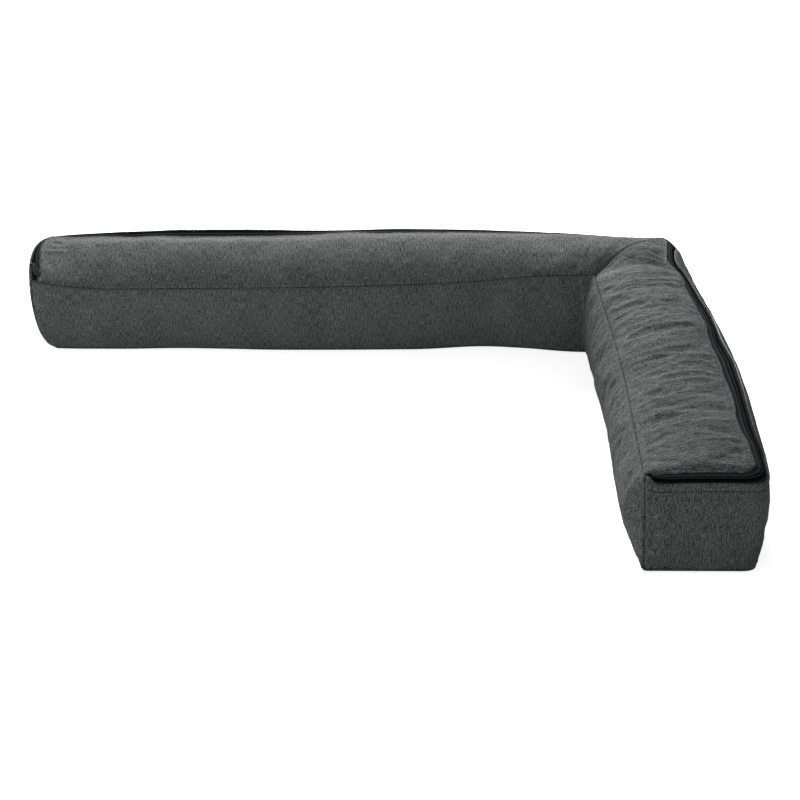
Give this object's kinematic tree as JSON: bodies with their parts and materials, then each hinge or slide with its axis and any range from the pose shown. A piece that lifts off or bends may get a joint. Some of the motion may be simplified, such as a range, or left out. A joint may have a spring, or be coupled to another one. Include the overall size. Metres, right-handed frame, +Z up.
{
  "type": "l-shaped cushion",
  "caption": "L-shaped filled bolster cushion with a mitred corner and a zip round its outer top edge, laid round a seat corner as back and arm support.",
  "frame": {"origin": "on the surface it rests on, under the middle of the whole cushion's bounding box", "axes": "+X along the long arm towards the corner of the L, -Y along the short arm away from that corner, +Z up"},
  "size_m": [1.0382, 0.7428, 0.1517],
  "materials": {
    "cloth": "charcoal melange weave, matte",
    "tape": "fine woven zip tape, near black",
    "coil": "black nylon coil, low sheen",
    "black_metal": "black lacquered die-cast metal, semi-gloss"
  },
  "bodies": {
    "root": {"cushion": "cloth", "zip_tape_upper": "tape", "zip_tape_lower": "tape", "zip_coil": "coil", "zip_slider": "black_metal", "zip_pull": "black_metal"}
  },
  "joints": []
}
